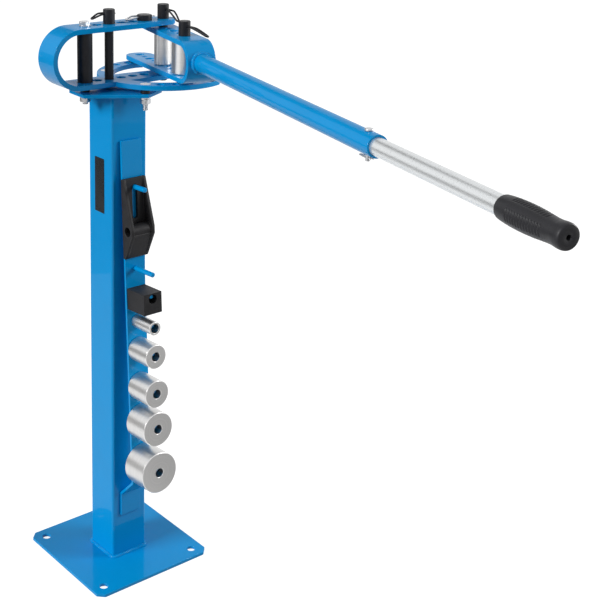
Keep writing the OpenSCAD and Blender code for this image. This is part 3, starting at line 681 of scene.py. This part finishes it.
class BENDER_OT_grip(bpy.types.Operator):
    """Rubber grip with four ribbed panels and a vent in its end"""
    bl_idname = "bender.grip"
    bl_label = "Grip"

    BAR = 12.75 * MM
    VENT = 3.25 * MM
    LIP = 0.4 * MM
    CAP = 7 * MM
    PITCH = 4.6 * MM
    ROWS = 220
    # share of the length from the collar, and of the half width
    OUTLINE = ((0, 0.8), (0.006, 0.835), (0.02, 0.87), (0.06, 0.905), (0.12, 0.94), (0.22, 0.98), (0.34, 1),
               (0.46, 0.99), (0.58, 0.955), (0.69, 0.9), (0.77, 0.862), (0.82, 0.855), (0.86, 0.868), (0.9, 0.893),
               (0.93, 0.905), (0.96, 0.9), (0.98, 0.875), (0.993, 0.84), (1, 0.79))

    def radius_at(self, share):
        for (a, ra), (b, rb) in zip(self.OUTLINE, self.OUTLINE[1:]):
            if share <= b:
                return ra + (rb - ra) * (share - a) / (b - a)
        return self.OUTLINE[-1][1]

    def execute(self, context):
        length, half = sizes().grip_length, sizes().grip_width / 2
        outer = [(half * self.radius_at(k / self.ROWS), length * k / self.ROWS) for k in range(self.ROWS + 1)]
        inner = [(self.VENT + self.LIP, length), (self.VENT, length - self.LIP), (self.VENT, length - self.CAP),
                 (self.BAR, length - self.CAP), (self.BAR, 0)]
        bm = turned([(self.BAR + 0.3 * MM, 0)] + outer + inner, steps=120)
        first, pitch = 0.22 * length, self.PITCH
        last = first + (sizes().rib_count - 1) * pitch
        for v in bm.verts:
            radius = math.hypot(v.co.x, v.co.y)
            if radius < 0.75 * half or not first - pitch / 2 < v.co.z < last + pitch / 2:
                continue
            across = (math.degrees(math.atan2(v.co.y, v.co.x)) + 45) % 90 - 45
            panel = min(1, max(0, (28 - abs(across)) / 4))
            wave = 0.5 + 0.5 * math.cos(2 * math.pi * (v.co.z - first) / pitch)
            cut = sizes().rib_depth * panel * min(1, 1.25 * wave ** 1.3)
            v.co.x *= 1 - cut / radius
            v.co.y *= 1 - cut / radius
        # the grip ends at its reach along the handle, at the height of the CAD node
        low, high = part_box("handle_grip")
        centre = PIVOT + ALONG * (sizes().grip_reach - length)
        centre.z = (low.z + high.z) / 2
        turn = Matrix((ALONG.cross(SIDE) * -1, SIDE, ALONG)).transposed()
        bmesh.ops.rotate(bm, cent=(0, 0, 0), matrix=turn, verts=bm.verts)
        bmesh.ops.translate(bm, vec=centre, verts=bm.verts)
        bmesh.ops.recalc_face_normals(bm, faces=bm.faces)
        put("handle_grip_piece", bm, moulded_rubber(), "handle_grip", ["handle_grip"], smooth=50)
        return {"FINISHED"}


class BENDER_OT_dies(bpy.types.Operator):
    """Turned dies, on their pins and on the rack"""
    bl_idname = "bender.dies"
    bl_label = "Dies"

    def execute(self, context):
        upright = Vector((0, 0, 1))
        peg = Vector(JOINT["die_1_inch_off"]["axis"])
        for node in ("centre_die", "follower_die"):
            self.die(node, upright)
        for node in ("die_1_inch", "die_1_3_4_inch", "die_2_inch", "die_2_1_2_inch", "die_3_inch"):
            self.die(node, peg)
        return {"FINISHED"}

    def die(self, node, axis):
        low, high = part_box(node)
        centre = (low + high) / 2
        radius, bore = (high.x - low.x) / 2, sizes().die_bore / 2
        half, chamfer, lip = sizes().die_length / 2, 1 * MM, 0.6 * MM
        profile = [(bore + lip, -half), (radius - chamfer, -half), (radius, chamfer - half),
                   (radius, half - chamfer), (radius - chamfer, half), (bore + lip, half),
                   (bore, half - lip), (bore, lip - half)]
        bm = at(turned(rounded(profile, 0.18 * MM), steps=112), centre, axis)
        levelled(put(node + "_piece", bm, turned_steel(node + "_steel", centre, axis), node, [node], smooth=28))


class BENDER_OT_anchor_blocks(bpy.types.Operator):
    """Cast anchor block with two cheeks, and the square block"""
    bl_idname = "bender.anchor_blocks"
    bl_label = "Anchor blocks"

    def execute(self, context):
        eased("vee_block", cast_black(), sizes().cast_edge, segments=3)
        eased("square_block", cast_black(), sizes().plate_edge)
        return {"FINISHED"}


class BENDER_OT_studio(bpy.types.Operator):
    """Pale floor, grey cards that paint dark reflections into the gloss, soft lights, white surroundings and the
    camera
    """
    bl_idname = "bender.studio"
    bl_label = "Studio"

    def execute(self, context):
        self.floor()
        self.lights()
        self.surroundings()
        self.camera()
        context.scene.view_settings.view_transform = "Standard"
        return {"FINISHED"}

    def seen(self, board):
        """1 for rays of the camera and for what shows in gloss and glass."""
        path = board.add("LightPath")
        gloss = board.sum("MAXIMUM", path.outputs["Is Glossy Ray"], path.outputs["Is Transmission Ray"])
        return board.sum("MAXIMUM", path.outputs["Is Camera Ray"], gloss)

    def floor(self):
        bm = bmesh.new()
        bmesh.ops.create_circle(bm, cap_ends=True, segments=96, radius=sizes().floor_radius)
        mesh = bpy.data.meshes.new("studio_floor")
        bm.to_mesh(mesh)
        bm.free()
        obj = bpy.data.objects.new("studio_floor", mesh)
        material, board, shader = new_material("studio_floor", roughness=0.9, specular_ior_level=0.0,
                                               base_color=(0.4, 0.4, 0.4, 1), emission_color=(1, 1, 1, 1))
        glow = board.sum("MULTIPLY", self.seen(board), self.FLOOR_GLOW)
        board.tree.links.new(glow, shader.inputs["Emission Strength"])
        mesh.materials.append(material)
        bpy.context.scene.collection.objects.link(obj)

    # what the lamps face, how soft the key is, and the shine of the floor
    FACED = Vector((0, 0, 0.6))
    KEY_ANGLE = math.radians(26)
    SIDE_SIZE = 0.9
    FLOOR_GLOW = 0.84

    # cards of painted reflection, glowing sheets that only gloss shows: azimuth of both ends in degrees, radius and
    # height of both rims, level of their glow
    REFLECTION_CARDS = {"front_floor": ((12, 66), (0.35, 0.001), (3.4, 0.001), 0.4),
             "front_low": ((-72, 12), (3.5, 0.001), (3.5, 0.62), 0.05),
             "back_low": ((150, 210), (3.5, 0.001), (3.5, 0.62), 0.08),
             "back_floor": ((206, 234), (1.5, 0.001), (3.5, 0.001), 0.22),
             "back_left": ((208, 234), (3.5, 0.001), (3.5, 1.2), 0.1),
             "back_high": ((156, 184), (3.56, 2.1), (2.3, 4.2), 0.03)}

    def reflection_card(self, name):
        """A glowing grey card that only gloss shows, spun round the post's axis: a painted reflection, unseen by the
        camera, by diffuse light and by shadows.
        """
        (first, last), start, end, level = self.REFLECTION_CARDS[name]
        bm = bmesh.new()
        verts = [bm.verts.new((radius, 0, height)) for radius, height in (start, end)]
        edge = bm.edges.new(verts)
        bmesh.ops.spin(bm, geom=[*verts, edge], cent=(0, 0, 0), axis=(0, 0, 1), angle=math.radians(last - first),
                       steps=24)
        aim = Matrix.Rotation(math.radians(first - 90), 3, "Z")
        bmesh.ops.rotate(bm, cent=(0, 0, 0), matrix=aim, verts=bm.verts)
        mesh = bpy.data.meshes.new(name)
        bm.to_mesh(mesh)
        bm.free()
        obj = bpy.data.objects.new(name, mesh)
        # painted reflection: the card glows at its level, and below it is hidden from the camera, diffuse light,
        # shadows and glass, so it only shows as darker bands in what gloss reflects
        material, _, _ = new_material(name, base_color=(0, 0, 0, 1), specular_ior_level=0.0,
                                      emission_color=(level, level, level, 1), emission_strength=1.0)
        mesh.materials.append(material)
        bpy.context.scene.collection.objects.link(obj)
        obj.visible_camera = obj.visible_diffuse = obj.visible_shadow = obj.visible_transmission = False

    def lights(self):
        # the painted reflection cards first, then the lamps
        for name in self.REFLECTION_CARDS:
            self.reflection_card(name)
        key = self.lamp("key", "SUN", (-0.93, 0.12, 0.46), 2.6)
        key.angle = self.KEY_ANGLE
        side = self.lamp("side_box", "AREA", (1.5, -1.2, 1.35), 24)
        side.shape = "DISK"
        side.size = self.SIDE_SIZE

    def lamp(self, name, kind, place, energy):
        """A lamp at a place. A sun shines from there along the place's own direction, any other at the post."""
        lamp = bpy.data.lights.new(name, kind)
        lamp.energy = energy
        obj = bpy.data.objects.new(name, lamp)
        obj.location = place
        direction = Vector(place) if kind == "SUN" else Vector(place) - self.FACED
        obj.rotation_euler = direction.to_track_quat("Z", "Y").to_euler()
        bpy.context.scene.collection.objects.link(obj)
        return lamp

    def surroundings(self):
        world = bpy.data.worlds.new("surroundings")
        world.use_nodes = True
        board = Board(world.node_tree)
        back = world.node_tree.nodes["Background"]
        back.inputs["Color"].default_value = (1, 1, 1, 1)
        level = board.add("MapRange", {"Value": self.seen(board), "To Min": 0.24, "To Max": 1.0})
        world.node_tree.links.new(level.outputs[0], back.inputs["Strength"])
        bpy.context.scene.world = world

    def camera(self):
        """The photograph's camera: a long lens, shifted towards the lower right."""
        yaw, pitch, roll = -0.660783, 0.234254, -0.012867
        ahead = Vector((-math.sin(yaw) * math.cos(pitch), math.cos(yaw) * math.cos(pitch), -math.sin(pitch)))
        right = Vector((math.cos(yaw), math.sin(yaw), 0))
        down = ahead.cross(right)
        across = right * math.cos(roll) + down * math.sin(roll)
        under = down * math.cos(roll) - right * math.sin(roll)
        lens = bpy.data.cameras.new("photo_camera")
        lens.sensor_width = 36
        picture = 600
        lens.lens = 1266.53 / picture * lens.sensor_width
        lens.shift_x, lens.shift_y = 103.32 / picture, -196.44 / picture
        lens.clip_end = 100
        obj = bpy.data.objects.new("photo_camera", lens)
        turn = Matrix((across, -under, -ahead)).transposed()
        obj.matrix_world = Matrix.Translation((-1.24059, -1.82685, 1.41333)) @ turn.to_4x4()
        bpy.context.scene.collection.objects.link(obj)
        bpy.context.scene.camera = obj


OPERATORS = (BENDER_OT_plates, BENDER_OT_post, BENDER_OT_welds, BENDER_OT_label, BENDER_OT_rack,
             BENDER_OT_fixed_frame, BENDER_OT_screws, BENDER_OT_spacers, BENDER_OT_pins, BENDER_OT_clips,
             BENDER_OT_handle_frame, BENDER_OT_handle_tubes, BENDER_OT_grip, BENDER_OT_dies,
             BENDER_OT_anchor_blocks, BENDER_OT_studio)


class BENDER_PT_panel(bpy.types.Panel):
    """Finishes, sizes and pieces of the tube bender"""
    bl_label = "Tube Bender"
    bl_idname = "BENDER_PT_panel"
    bl_space_type = "VIEW_3D"
    bl_region_type = "UI"
    bl_category = "Tube Bender"

    def draw(self, context):
        for values in (colours(), sizes()):
            for key in values.__annotations__:
                self.layout.prop(values, key)
        for operator in OPERATORS:
            self.layout.operator(operator.bl_idname)


CLASSES = (BenderColours, BenderSizes, *OPERATORS, BENDER_PT_panel)


def register():
    for cls in CLASSES:
        bpy.utils.register_class(cls)
    bpy.types.Scene.bender_colours = PointerProperty(type=BenderColours)
    bpy.types.Scene.bender_sizes = PointerProperty(type=BenderSizes)


def unregister():
    del bpy.types.Scene.bender_sizes
    del bpy.types.Scene.bender_colours
    for cls in reversed(CLASSES):
        bpy.utils.unregister_class(cls)


def main():
    register()
    bpy.ops.bender.plates()
    bpy.ops.bender.post()
    bpy.ops.bender.welds()
    bpy.ops.bender.label()
    bpy.ops.bender.rack()
    bpy.ops.bender.fixed_frame()
    bpy.ops.bender.screws()
    bpy.ops.bender.spacers()
    bpy.ops.bender.pins()
    bpy.ops.bender.clips()
    bpy.ops.bender.handle_frame()
    bpy.ops.bender.handle_tubes()
    bpy.ops.bender.grip()
    bpy.ops.bender.dies()
    bpy.ops.bender.anchor_blocks()
    bpy.ops.bender.studio()


if __name__ == "__main__":
    main()
